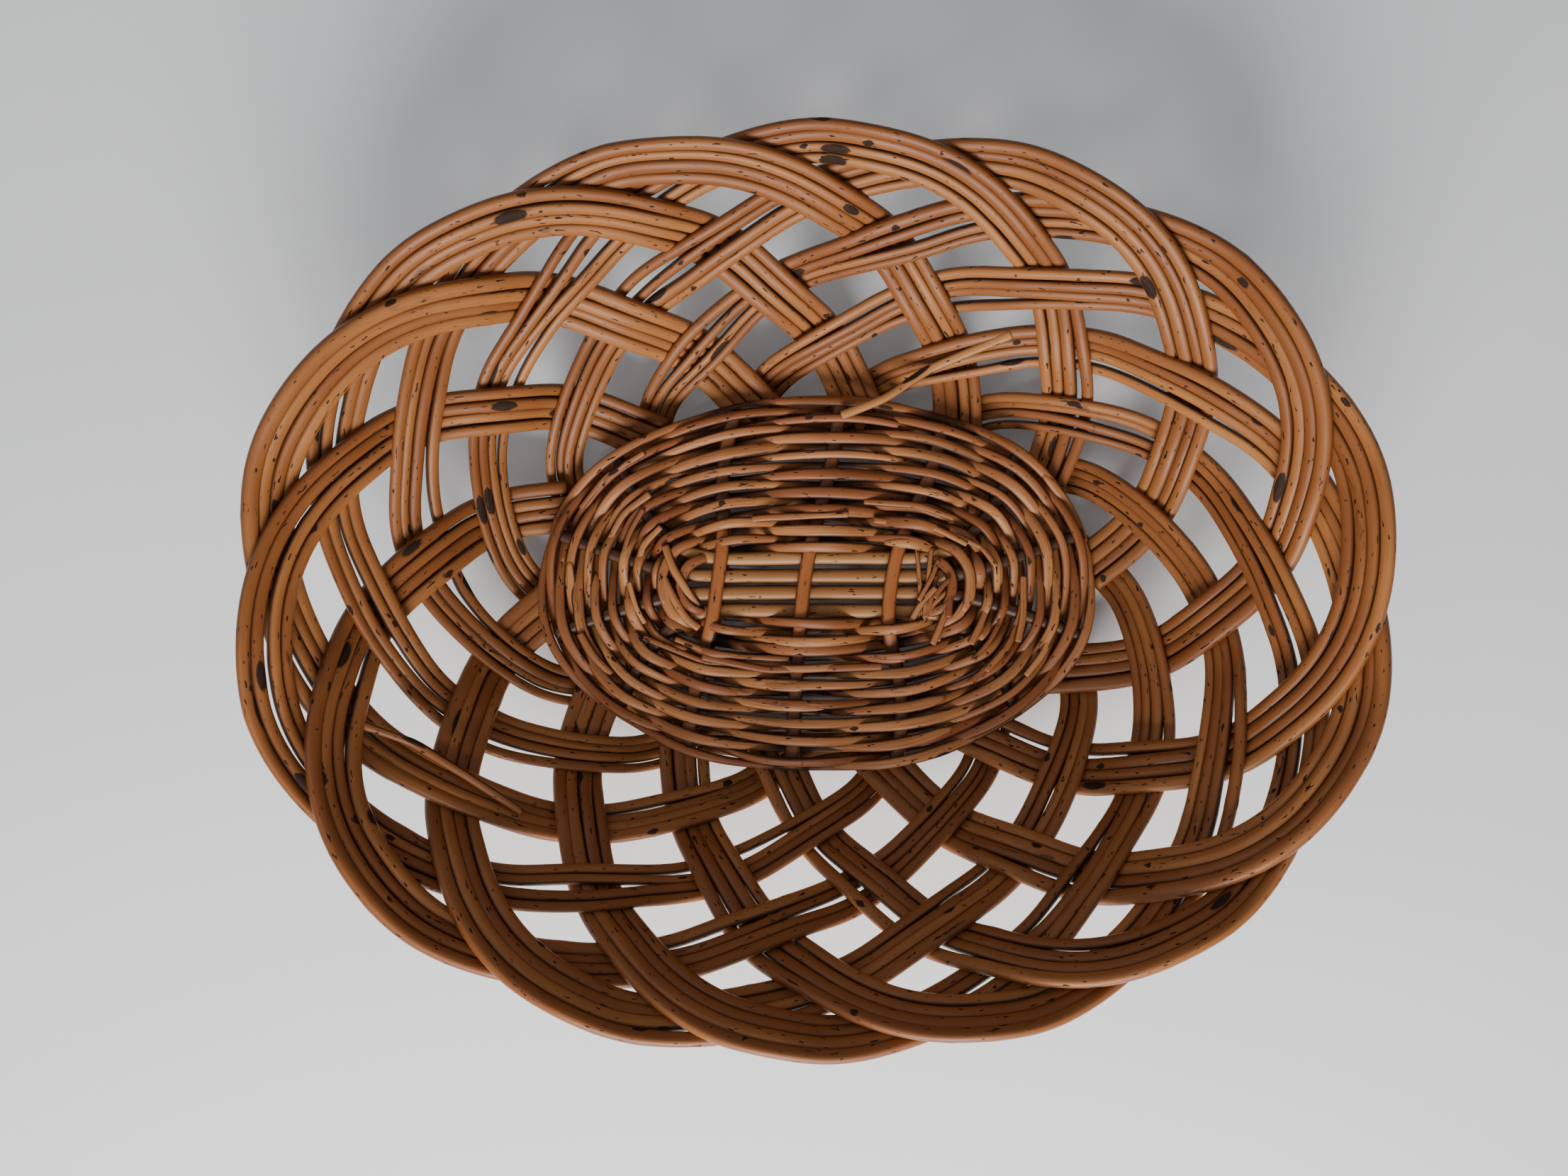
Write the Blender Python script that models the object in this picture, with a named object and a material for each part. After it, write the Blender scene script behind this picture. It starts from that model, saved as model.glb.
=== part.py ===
"""An oval fruit basket in varnished willow, built the way a basket maker builds it.

The floor is three slit cross sticks with four long sticks through their slits, and rows of weaver
woven over and under the fourteen stick ends. The open wall is fourteen bands of four willow rods. Each
band starts in the flat foot ring, climbs slowly round the wall to the rim, turns over and comes down
steeply six places further on, passing over and under the others, and ends beneath the floor.

The frame is +X along the long axis, +Z up, with the origin on the ground under the middle.
Places round the basket run clockwise seen from above, from +X, in steps of one band.
"""

import math

import bmesh
import bpy
import numpy as np
from mathutils import Vector

# Overall sizes, in metres.
RIM_LENGTH = 0.347  # of the oval that the tops of the bands reach for
RIM_WIDTH = 0.280
HEIGHT = 0.086
FLOOR_LENGTH = 0.194  # the woven floor, over its last row
FLOOR_WIDTH = 0.130
OVAL_POWER = 2.12  # 2 is an ellipse, more is squarer
CLEARANCE = 0.00035  # between pieces that touch
BAND_CLEARANCE = 0.00056  # between two bands that cross

# The wall.
BANDS = 14
RODS_IN_BAND = 4
ROD = 0.0038
SPAN = 6.0  # steps from where a band leaves the foot to where it comes down
CLIMB = 0.30  # share of the wall's height climbed in one step
FALL = 0.64  # share of the wall's height lost in one step
TURN_SHARPNESS = 2.8  # how tightly a band turns over at the rim
LEAN = 0.8  # powers that shape the wall from floor to rim: outwards, and upwards
RISE = 1.12
FIRST_BAND = 0.83  # steps from +X to the first band
DRIFT = 0.05  # the maker's bands sit closer together round one end, in steps
SECOND_DRIFT = 0.04
OVER_AT = (5, 3)  # a climbing band passes over the bands that started 5 and 3 places before it
SPARE = 0.0008  # length that stays flat beyond each crossing
MOST_STEP = 0.32  # longest stretch of a band between two points, in steps
LEAST_EASE = 0.10  # shortest stretch of a band that slopes from one side to the other, in steps
FOOT_INSET = 0.007  # how far the foot ring lies inside the edge of the floor
FOOT_ROOM = 0.0007  # extra room over and under the crossings at the foot
FOOT_BEND = (0.07, 0.16)  # steps from either end where the wall bends up most
FOOT_START = 0.52  # steps past the band two places before, where a band's tail begins
FOOT_RISE = (0.18, 0.44)  # steps past the band before, where a band rises off the ground
FOOT_LEVEL = 0.25  # steps before its start up to which a band stays level
TURN_UP = 0.25  # steps after its start until a band lies flat against the wall
TURN_DOWN = 0.03  # steps before its end from which a band lies level again
TUCK = 0.016  # length of a band's end under the floor

# The floor.
CROSS_STICKS = 3
CROSS_SPACING = 0.030
CROSS_SLANT = 0.13  # the cross sticks lean, as sideways per forwards
LONG_STICKS = 4
LONG_STICK = 0.0050  # diameter through the slits
LONG_GAP = 0.0010  # between two long sticks in the slits
FAN = 1.12  # how far the long sticks have spread where they meet the first row
STICK_TIP = 0.0040  # diameter of every stick at the edge of the floor
SLIT_WALL = 0.0018  # wood left above and below a slit
EYE_TAPER = 0.016  # length over which a cross stick thins from its slit to its tip's height
ROWS = 16
TYING_ROWS = 2  # the first rows take the ends of the long sticks as one bundle
WEAVER = 0.0022  # height of the woven strand
ROW_CLEARANCE = 0.00035
OPENING_LENGTH = 0.101  # the first row, along its centre line
OPENING_ROOM = 0.0008  # left between a slit's end and the first row, beside a long stick and a weaver
OPENING_POWER = 3.0
CROSSING = 0.0044  # length of strand lying flat over a stick
LEVEL_SHARES = (0.15, 0.5, 0.85)  # where the straight middle of a cross stick has points
TYING_CROSSING = 0.0100

BAND_WIDTH = RODS_IN_BAND * ROD
EDGE = ROD / 2  # how far the round edge of a band reaches in
LAYER = ROD + BAND_CLEARANCE
FOOT_LOW = ROD / 2
FOOT_HIGH = FOOT_LOW + LAYER
WALL_BOTTOM = FOOT_HIGH + LAYER / 2 + FOOT_ROOM
BANDS_TOP = WALL_BOTTOM + LAYER / 2 + FOOT_ROOM + ROD / 2
FLOOR_MIDDLE = BANDS_TOP + CLEARANCE + WEAVER + CLEARANCE + STICK_TIP / 2
LONG_SPACING = LONG_STICK + LONG_GAP
OPENING_MARGIN = LONG_STICK / 2 + WEAVER / 2 + OPENING_ROOM
SLIT_LENGTH = LONG_STICKS * LONG_SPACING
SLIT_HEIGHT = LONG_STICK + 2 * CLEARANCE
OPENING_WIDTH = SLIT_LENGTH + 2 * OPENING_MARGIN
STICK_PLACES = (0.0, 0.33, 0.66, 1.0)  # where a stick bends, from the first row out to the last
LONG_ENDS = tuple(range(LONG_STICKS)) + tuple(
    LONG_STICKS + CROSS_STICKS + i for i in range(LONG_STICKS)
)
STICK_ENDS = 2 * (LONG_STICKS + CROSS_STICKS)
UP = Vector((0, 0, 1))


# ---------------------------------------------------------------- ovals

def oval(angle, half_length, half_width, power=OVAL_POWER):
    """A point of a superellipse, clockwise seen from above."""
    c, s = math.cos(angle), math.sin(angle)
    x = math.copysign(abs(c) ** (2 / power), c)
    y = math.copysign(abs(s) ** (2 / power), s)
    return half_length * x, -half_width * y


def even_angles(half_length, half_width, power, samples=1440):
    """Angles round an oval and the share of its length walked at each."""
    angles = np.linspace(0, 2 * math.pi, samples + 1)
    points = np.array([oval(a, half_length, half_width, power) for a in angles])
    walked = np.concatenate([[0], np.cumsum(np.linalg.norm(np.diff(points, axis=0), axis=1))])
    return angles, walked / walked[-1]


FLOOR_ANGLES, FLOOR_SHARES = even_angles(FLOOR_LENGTH / 2, FLOOR_WIDTH / 2, OVAL_POWER)


def angle_at_share(share):
    """The oval angle after a share of a turn, walked evenly along the edge of the floor."""
    turns, part = divmod(share, 1.0)
    return 2 * math.pi * turns + float(np.interp(part, FLOOR_SHARES, FLOOR_ANGLES))


def angle_at(place):
    """The oval angle at a place, in steps of one band."""
    return angle_at_share(place / BANDS)


# ---------------------------------------------------------------- the wall

def climb(step):
    """The height of a band's middle, as a share of the wall, a number of steps after its start."""
    if step <= 0 or step >= SPAN:
        return 0.0
    up, down = CLIMB * step, FALL * (SPAN - step)
    return (up ** -TURN_SHARPNESS + down ** -TURN_SHARPNESS) ** (-1 / TURN_SHARPNESS)


TURN_HEIGHT = max(climb(SPAN * i / 600) for i in range(1, 600))
RIM_SLOPE = math.atan2(HEIGHT * RISE, (RIM_LENGTH - FLOOR_LENGTH) / 2 * LEAN)
RIM_SIDE = BAND_WIDTH / 2 * math.cos(RIM_SLOPE) + (LAYER + ROD) / 2 * math.sin(RIM_SLOPE)
RIM_UP = BAND_WIDTH / 2 * math.sin(RIM_SLOPE) + ROD / 2 * math.cos(RIM_SLOPE)
REACH_X = ((RIM_LENGTH - FLOOR_LENGTH) / 2 - RIM_SIDE) / TURN_HEIGHT ** LEAN
REACH_Y = ((RIM_WIDTH - FLOOR_WIDTH) / 2 - RIM_SIDE) / TURN_HEIGHT ** LEAN
REACH_Z = (HEIGHT - WALL_BOTTOM - RIM_UP) / TURN_HEIGHT ** RISE


def wall_point(place, height):
    """A point on the wall's middle surface."""
    out = height ** LEAN
    x, y = oval(angle_at(place), FLOOR_LENGTH / 2 + REACH_X * out, FLOOR_WIDTH / 2 + REACH_Y * out)
    return Vector((x, y, WALL_BOTTOM + REACH_Z * height ** RISE))


def wall_normal(place, height):
    """The wall's direction towards the inside of the basket."""
    height = max(height, 0.02)
    along = wall_point(place + 0.02, height) - wall_point(place - 0.02, height)
    up = wall_point(place, height + 0.01) - wall_point(place, height - 0.01)
    normal = up.cross(along).normalized()
    return normal if normal.z > 0 else -normal


def band_start(band):
    """The place where a band leaves the foot, with the maker's drift in their spacing."""
    turn = 2 * math.pi / BANDS
    drift = DRIFT * math.cos(turn * (band + 0.5)) + SECOND_DRIFT * math.cos(2 * turn * (band + 0.3))
    return FIRST_BAND + band - drift


def crossing_step(ahead):
    """Steps after its start where a climbing band meets one that started this many steps earlier."""
    low, high = 0.0, max(SPAN - ahead, 0.0)
    for _ in range(40):
        middle = (low + high) / 2
        if climb(middle) < climb(middle + ahead):
            low = middle
        else:
            high = middle
    return low


def run_at(start, step):
    """A band's run in metres per step."""
    step = max(0.1, min(step, SPAN - 0.1))
    first = wall_point(start + step - 0.03, climb(step - 0.03))
    last = wall_point(start + step + 0.03, climb(step + 0.03))
    return (last - first) / 0.06


def crossing(band, other, over):
    """(first step, last step, side) of the stretch where a band lies flat against another."""
    start, other_start = band_start(band), band_start(other)
    ahead = abs(start - other_start)
    met = crossing_step(ahead)
    step = met if start > other_start else min(met + ahead, SPAN)
    here = run_at(start, step)
    there = run_at(other_start, start + step - other_start)
    meeting = max(here.angle(there), 0.6)
    meeting = min(meeting, math.pi - meeting)
    half = (BAND_WIDTH - EDGE) / 2 * (1 / math.sin(meeting) + 1 / math.tan(meeting)) + SPARE
    return step - half / here.length, step + half / here.length, 1 if over else -1


def crossings(band):
    """Every crossing of a band, from its start to its end."""
    found = []
    for places in range(1, int(SPAN) + 1):
        found.append(crossing(band, band - places, places in OVER_AT))
        found.append(crossing(band, band + places, places not in OVER_AT))
    return sorted(found)


def keyed_offsets(band):
    """(step, offset) along the wall: level at each crossing and sloping between them."""
    keys = []
    for first, last, side in crossings(band):
        offset = side * LAYER / 2
        if keys and keys[-1][1] == offset:
            keys[-1] = (max(last, keys[-1][0]), offset)
            continue
        if keys and first < keys[-1][0] + LEAST_EASE:
            middle = (first + keys[-1][0]) / 2
            keys[-1] = (middle - LEAST_EASE / 2, keys[-1][1])
            first = middle + LEAST_EASE / 2
        keys += [(first, offset), (last, offset)]
    keys[0] = (0.0, keys[0][1] - FOOT_ROOM)
    keys[1] = (keys[1][0], keys[1][1] - FOOT_ROOM)
    keys[-2] = (keys[-2][0], keys[-2][1] + FOOT_ROOM)
    keys[-1] = (SPAN, keys[-1][1] + FOOT_ROOM)
    return keys


def divided(ordered):
    """Steps in order, with more between those that lie too far apart."""
    found = []
    for first, last in zip(ordered, ordered[1:]):
        pieces = math.ceil((last - first) / MOST_STEP)
        found += [first + (last - first) * i / pieces for i in range(pieces)]
    return found + [ordered[-1]]


def foot_point(place, height):
    """A point of the foot ring."""
    x, y = oval(angle_at(place), FLOOR_LENGTH / 2 - FOOT_INSET, FLOOR_WIDTH / 2 - FOOT_INSET)
    return Vector((x, y, height))


def foot_route(band):
    """A band's run round the foot: on the ground, then up over the tail of the next band."""
    start, before, second = (band_start(band - i) for i in range(3))
    places = (second + FOOT_START, before + FOOT_RISE[0], before + FOOT_RISE[1], start - FOOT_LEVEL)
    heights = (FOOT_LOW, FOOT_LOW, FOOT_HIGH, FOOT_HIGH)
    return [(foot_point(p, float(np.interp(p, places, heights))), UP) for p in divided(places)]


def wall_route(band):
    """A band's run up the wall, over the rim and down."""
    start = band_start(band)
    keys = keyed_offsets(band)
    steps = {0.0, SPAN, *FOOT_BEND, SPAN - FOOT_BEND[0]} | {step for step, _ in keys}
    route = []
    for step in divided(sorted(steps)):
        offset = float(np.interp(step, [k[0] for k in keys], [k[1] for k in keys]))
        height = climb(step)
        upright = min(1.0, step / TURN_UP, (SPAN - step) / TURN_DOWN)
        normal = UP.lerp(wall_normal(start + step, height), upright).normalized()
        route.append((wall_point(start + step, height) + normal * offset, normal))
    return route


def tucked_end(route):
    """The last stretch of a band, running in beneath the floor."""
    last = route[-1][0]
    run = last - route[-2][0]
    run.z = 0
    run.normalize()
    return [(last + run * TUCK * share, UP) for share in (0.5, 1.0)]


# ---------------------------------------------------------------- the floor

def row_point(angle, out):
    """A point of a row of weaving: out is 0 at the first row and 1 at the last."""
    half_length = (OPENING_LENGTH + (FLOOR_LENGTH - WEAVER - OPENING_LENGTH) * out) / 2
    half_width = (OPENING_WIDTH + (FLOOR_WIDTH - WEAVER - OPENING_WIDTH) * out) / 2
    return Vector(oval(angle, half_length, half_width, OPENING_POWER + (OVAL_POWER - OPENING_POWER) * out))


def closest_rows(samples=720):
    """The least distance between neighbouring rows."""
    angles = [2 * math.pi * i / samples for i in range(samples)]
    rows = [np.array([row_point(a, row / (ROWS - 1)) for a in angles]) for row in range(ROWS)]
    return min(
        float(np.linalg.norm(inner[:, None] - outer[None], axis=2).min())
        for inner, outer in zip(rows, rows[1:])
    )


STRAND = closest_rows() - ROW_CLEARANCE  # width of the woven strand


def signed_power(value, power):
    return math.copysign(min(abs(value), 1.0) ** power, value)


def stick_angles():
    """(angle at the first row, angle at the last row) of the stick ends, in order round."""
    ends = []
    power = OPENING_POWER / 2
    edge = 2 * math.pi / STICK_ENDS * (FLOOR_LENGTH + FLOOR_WIDTH) / 4
    lean = CROSS_SLANT * FLOOR_WIDTH / 2 / edge
    for side in range(2):
        turn = math.pi * side
        for number in range(LONG_STICKS):
            rank = number - (LONG_STICKS - 1) / 2
            across = rank * LONG_SPACING * FAN / (OPENING_WIDTH / 2)
            outer = angle_at_share(rank / STICK_ENDS)
            outer -= 2 * math.pi if outer > math.pi else 0
            ends.append((turn + math.asin(signed_power(across, power)), turn + outer))
        for number in range(CROSS_STICKS):
            rank = number - (CROSS_STICKS - 1) / 2
            across = -rank * CROSS_SPACING - CROSS_SLANT * OPENING_WIDTH / 2
            inner = math.acos(signed_power(across / (OPENING_LENGTH / 2), power))
            outer = angle_at_share(0.25 + (rank + lean) / STICK_ENDS)
            ends.append((turn + inner, turn + outer))
    return ends


STICK_ANGLES = stick_angles()


def crossing_angle(end, out):
    """The oval angle where a stick end meets the row at this distance out."""
    inner, outer = STICK_ANGLES[end]
    return inner + (outer - inner) * out


def eye_swell(across):
    """How much taller than its tip a cross stick is, this far from the middle of its slit."""
    tall = (SLIT_HEIGHT + 2 * SLIT_WALL) / STICK_TIP
    share = min(max((across - SLIT_LENGTH / 2 - 0.001) / EYE_TAPER, 0.0), 1.0)
    return tall + (1 - tall) * share * share * (3 - 2 * share)


def stick_half_height(end, out):
    """Half a stick's height where it meets a row."""
    if end in LONG_ENDS:
        return (LONG_STICK + (STICK_TIP - LONG_STICK) * out) / 2
    across = abs(row_point(crossing_angle(end, 0), out).y)
    return STICK_TIP / 2 * eye_swell(across - 2 * STRAND)


def meeting_sine(end, out):
    """The sine of the angle between a row and a stick end where they cross."""
    near, far = max(out - 0.02, 0.0), min(out + 0.02, 1.0)
    stick = row_point(crossing_angle(end, far), far) - row_point(crossing_angle(end, near), near)
    angle = crossing_angle(end, out)
    strand = row_point(angle + 0.01, out) - row_point(angle - 0.01, out)
    return max(abs(stick.normalized().cross(strand.normalized())), 0.5)


def count_round(end, row):
    """A stick end's number round the floor, where a tying row counts a bundle as one."""
    if row >= TYING_ROWS:
        return end
    side, number = divmod(end, STICK_ENDS // 2)
    return side * (CROSS_STICKS + 1) + max(number - LONG_STICKS + 1, 0)


def row_route(row):
    """One closed row: over one stick end, under the next, level between them."""
    out = row / (ROWS - 1)
    angles, heights = [], []
    for end in range(STICK_ENDS):
        middle = crossing_angle(end, out)
        speed = (row_point(middle + 0.01, out) - row_point(middle, out)).length / 0.01
        flat = TYING_CROSSING if row < TYING_ROWS else CROSSING
        half = flat / 2 / speed / meeting_sine(end, out)
        side = 1 if (count_round(end, row) + row) % 2 else -1
        height = side * (stick_half_height(end, out) + WEAVER / 2 + CLEARANCE)
        first = max(middle - half, angles[-1] + 0.02) if angles else middle - half
        angles += [first, middle + half]
        heights += [height, height]
    angles.append(angles[0] + 2 * math.pi)
    heights.append(heights[0])
    route = []
    for i in range(2 * STICK_ENDS):
        route.append((angles[i], heights[i]))
        if i % 2:
            route.append(((angles[i] + angles[i + 1]) / 2, (heights[i] + heights[i + 1]) / 2))
    return [(Vector((*row_point(angle, out), FLOOR_MIDDLE + height)), UP) for angle, height in route]


def fanned(end):
    """A stick's run from the first row out to the last."""
    return [Vector((*row_point(crossing_angle(end, out), out), FLOOR_MIDDLE)) for out in STICK_PLACES]


def cross_stick_route(number):
    """A cross stick from one edge of the floor to the other."""
    first = fanned(LONG_STICKS + number)[::-1]
    last = fanned(STICK_ENDS - 1 - number)
    return first + [first[-1].lerp(last[0], share) for share in LEVEL_SHARES] + last


def long_stick_route(number):
    """A long stick: straight through the slits, then fanned out to the edge of the floor."""
    level = ((LONG_STICKS - 1) / 2 - number) * LONG_SPACING
    straight = CROSS_SPACING * (CROSS_STICKS - 1) / 2 + STICK_TIP
    middle = [Vector((x, level, FLOOR_MIDDLE)) for x in (straight, 0.0, -straight)]
    return fanned(number)[::-1] + middle + fanned(2 * LONG_STICKS + CROSS_STICKS - 1 - number)


# ---------------------------------------------------------------- Blender objects

def collection(name, hidden=False):
    made = bpy.data.collections.new(name)
    made.hide_render = hidden
    bpy.context.scene.collection.children.link(made)
    return made


def willow(name, colour, roughness):
    """Varnished willow of one tone."""
    material = bpy.data.materials.new(name)
    material.use_nodes = True
    shader = material.node_tree.nodes["Principled BSDF"]
    shader.inputs["Base Color"].default_value = (*colour, 1)
    shader.inputs["Roughness"].default_value = roughness
    shader.inputs["Metallic"].default_value = 0.0
    return material


def section(name, points):
    """A flat section, as a curve that other curves sweep."""
    curve = bpy.data.curves.new(name, "CURVE")
    curve.dimensions = "2D"
    spline = curve.splines.new("POLY")
    spline.points.add(len(points) - 1)
    for control, (x, y) in zip(spline.points, points):
        control.co = (x, y, 0, 1)
    spline.use_cyclic_u = True
    helper = bpy.data.objects.new(name, curve)
    helper.hide_render = True
    helper.display_type = "WIRE"
    GUIDES.objects.link(helper)
    return helper


def runs_of(points, closed):
    """The direction of a run of points at each of them, as a curve takes it."""
    found = []
    for i, point in enumerate(points):
        run = Vector((0, 0, 0))
        if i or closed:
            run += (point - points[i - 1]).normalized()
        if i + 1 < len(points) or closed:
            run += (points[(i + 1) % len(points)] - point).normalized()
        found.append(run.normalized())
    return found


def swept(name, profile, route, material, closed=False):
    """A section swept along (point, direction of the section's height) pairs."""
    points = [point for point, _ in route]
    curve = bpy.data.curves.new(name, "CURVE")
    curve.dimensions = "3D"
    curve.twist_mode = "Z_UP"
    curve.bevel_mode = "OBJECT"
    curve.bevel_object = profile
    curve.use_fill_caps = not closed
    spline = curve.splines.new("POLY")
    spline.points.add(len(points) - 1)
    for control, (place, normal), run in zip(spline.points, route, runs_of(points, closed)):
        side = run.cross(UP).normalized()
        control.co = (*place, 1)
        control.tilt = math.atan2(normal.dot(side), normal.dot(side.cross(run)))
    spline.use_cyclic_u = closed
    spline.use_smooth = True
    curve.materials.append(material)
    made = bpy.data.objects.new(name, curve)
    BASKET.objects.link(made)


def round_stick(name, points, diameters, material):
    """A stick of changing diameter."""
    curve = bpy.data.curves.new(name, "CURVE")
    curve.dimensions = "3D"
    curve.bevel_depth = 0.5
    curve.bevel_resolution = 2
    curve.use_fill_caps = True
    spline = curve.splines.new("POLY")
    spline.points.add(len(points) - 1)
    for control, place, diameter in zip(spline.points, points, diameters):
        control.co = (*place, 1)
        control.radius = diameter
    spline.use_smooth = True
    curve.materials.append(material)
    made = bpy.data.objects.new(name, curve)
    BASKET.objects.link(made)
    return made


def as_mesh(curve_object):
    """The curve's solid as a mesh object with its caps welded on."""
    bpy.context.view_layer.update()
    graph = bpy.context.evaluated_depsgraph_get()
    mesh = bpy.data.meshes.new_from_object(curve_object.evaluated_get(graph))
    shape = bmesh.new()
    shape.from_mesh(mesh)
    bmesh.ops.remove_doubles(shape, verts=shape.verts, dist=1e-6)
    shape.to_mesh(mesh)
    shape.free()
    name, place = curve_object.name, curve_object.matrix_world.copy()
    curve = curve_object.data
    bpy.data.objects.remove(curve_object)
    bpy.data.curves.remove(curve)
    made = bpy.data.objects.new(name, mesh)
    made.matrix_world = place
    BASKET.objects.link(made)
    return made


def swell_eye(stick):
    """Makes the middle of a cross stick tall enough to be slit, and keeps its width."""
    for vertex in stick.data.vertices:
        vertex.co.z = FLOOR_MIDDLE + (vertex.co.z - FLOOR_MIDDLE) * eye_swell(abs(vertex.co.y))


def cut_slit(stick, middle):
    """Cuts the slit that the long sticks pass through."""
    bpy.ops.mesh.primitive_cube_add(size=1, location=(middle, 0, FLOOR_MIDDLE))
    cutter = bpy.context.object
    cutter.name = stick.name + "_slit"
    cutter.scale = (STICK_TIP * 5, SLIT_LENGTH, SLIT_HEIGHT)
    cutter.hide_render = True
    cutter.display_type = "WIRE"
    for owner in list(cutter.users_collection):
        owner.objects.unlink(cutter)
    GUIDES.objects.link(cutter)
    slit = stick.modifiers.new("slit", "BOOLEAN")
    slit.operation = "DIFFERENCE"
    slit.object = cutter


def build_bands():
    x, y = BAND_WIDTH / 2, ROD / 2
    points = ((x, 0), (x - EDGE, -y), (EDGE - x, -y), (-x, 0), (EDGE - x, y), (x - EDGE, y))
    profile = section("band_section", points)
    for band in range(BANDS):
        route = foot_route(band) + wall_route(band)
        swept(f"band_{band + 1:02d}", profile, route + tucked_end(route), WALL_WILLOW)


def build_rows():
    x, y = STRAND / 2, WEAVER / 2
    profile = section("strand_section", ((x, y), (x, -y), (-x, -y), (-x, y)))
    for row in range(ROWS):
        swept(f"weave_row_{row + 1:02d}", profile, row_route(row), FLOOR_WILLOW, closed=True)


def build_long_sticks():
    fan = [LONG_STICK + (STICK_TIP - LONG_STICK) * out for out in STICK_PLACES]
    diameters = fan[::-1] + [LONG_STICK] * 3 + fan
    for number in range(LONG_STICKS):
        round_stick(f"long_stick_{number + 1}", long_stick_route(number), diameters, PALE_WILLOW)


def build_cross_sticks():
    for number in range(CROSS_STICKS):
        route = cross_stick_route(number)
        diameters = [STICK_TIP] * len(route)
        stick = as_mesh(round_stick(f"cross_stick_{number + 1}", route, diameters, DARK_WILLOW))
        swell_eye(stick)
        cut_slit(stick, route[len(route) // 2].x)
        stick.data.shade_smooth()
        stick.data.set_sharp_from_angle(angle=math.radians(50))


for old in list(bpy.data.objects):
    bpy.data.objects.remove(old)
BASKET = collection("fruit_basket")
GUIDES = collection("guides", hidden=True)
WALL_WILLOW = willow("varnished_willow", (0.45, 0.19, 0.06), 0.35)
FLOOR_WILLOW = willow("varnished_weaver", (0.40, 0.20, 0.08), 0.40)
PALE_WILLOW = willow("pale_stick", (0.50, 0.33, 0.16), 0.35)
DARK_WILLOW = willow("cross_stick_willow", (0.34, 0.13, 0.04), 0.35)
build_bands()
build_rows()
build_long_sticks()
build_cross_sticks()
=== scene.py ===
# %% [markdown]
# # A woven willow fruit basket
# This lesson dresses the plain solids of an oval basket as real willow. The solids give the size and the
# way each piece runs; here every band becomes four separate rods, every row of the floor becomes real
# weavers with cut ends, and the wood gets its grain, knots, stain, painted shade in its grooves and hollows,
# and varnish.
# All lengths are in metres, +X runs along the basket and +Z points up.

import math
import random

import bpy
import numpy as np
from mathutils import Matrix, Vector


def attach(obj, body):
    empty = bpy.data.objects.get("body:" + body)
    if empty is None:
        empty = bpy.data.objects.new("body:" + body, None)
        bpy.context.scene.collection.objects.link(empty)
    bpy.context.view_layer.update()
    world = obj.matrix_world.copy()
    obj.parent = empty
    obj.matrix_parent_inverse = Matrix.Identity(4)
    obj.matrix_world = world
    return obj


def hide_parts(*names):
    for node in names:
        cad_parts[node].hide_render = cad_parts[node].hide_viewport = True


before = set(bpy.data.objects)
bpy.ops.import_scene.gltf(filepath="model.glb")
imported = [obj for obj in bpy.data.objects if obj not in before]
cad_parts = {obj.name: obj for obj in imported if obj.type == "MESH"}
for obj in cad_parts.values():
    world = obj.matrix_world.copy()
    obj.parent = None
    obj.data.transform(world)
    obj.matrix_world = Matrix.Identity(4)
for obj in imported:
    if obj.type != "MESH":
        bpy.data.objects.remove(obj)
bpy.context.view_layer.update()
chance = random.Random(14)

# %% [markdown]
# ## The sizes a basket maker works to
# The same few sizes shape the solids: how long and wide the floor and the rim are, how thick a rod is,
# how many bands there are and how far round each one travels. Everything below is worked out from them.

# %% Sizes of the basket
RIM_LENGTH, RIM_WIDTH, HEIGHT = 0.350, 0.283, 0.086  # real rods spring out a little at the rim
FLOOR_LENGTH, FLOOR_WIDTH = 0.194, 0.130
OVAL_POWER = 2.12  # 2 is an ellipse, more is squarer
BANDS, RODS_IN_BAND, ROD = 14, 4, 0.0038
SPAN, CLIMB, FALL, TURN_SHARPNESS = 6.0, 0.30, 0.64, 2.8
LEAN, RISE, FIRST_BAND, DRIFT, SECOND_DRIFT = 0.8, 1.12, 0.83, 0.05, 0.04
OVER_AT = (5, 3)  # a climbing band passes over the bands that started 5 and 3 places before it
CLEARANCE, BAND_CLEARANCE = 0.00035, 0.00056
SPARE = 0.0008  # length that stays flat beyond each crossing
LEAST_EASE = 0.10  # shortest stretch of a band that slopes from one side to the other, in steps
FOOT_INSET, FOOT_ROOM, TUCK = 0.007, 0.0007, 0.016
FOOT_START, FOOT_RISE, FOOT_LEVEL = 0.52, (0.18, 0.44), 0.25  # where a band's tail begins, rises, is level
TURN_UP, TURN_DOWN = 0.25, 0.03  # steps in which a band turns up against the wall, and down again
BAND_WIDTH = RODS_IN_BAND * ROD
EDGE = ROD / 2
LAYER = ROD + BAND_CLEARANCE
FOOT_LOW = ROD / 2
FOOT_HIGH = FOOT_LOW + LAYER
WALL_BOTTOM = FOOT_HIGH + LAYER / 2 + FOOT_ROOM
UP = Vector((0, 0, 1))
print("a band is", round(BAND_WIDTH * 1000, 1), "mm wide")

# %% [markdown]
# ## Ovals
# The floor, the rim and every height between them are superellipses: an ellipse with slightly fuller
# corners. Bands start at even steps along the edge of the floor, so an angle is looked up from the length
# walked along that edge. Walking evenly matters, because even angles would crowd the bands at the ends.

# %% Ovals and even steps round them
def oval(angle, half_length, half_width, power=OVAL_POWER):
    """A point of a superellipse, clockwise seen from above."""
    c, s = math.cos(angle), math.sin(angle)
    x = math.copysign(abs(c) ** (2 / power), c)
    y = math.copysign(abs(s) ** (2 / power), s)
    return half_length * x, -half_width * y


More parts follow.
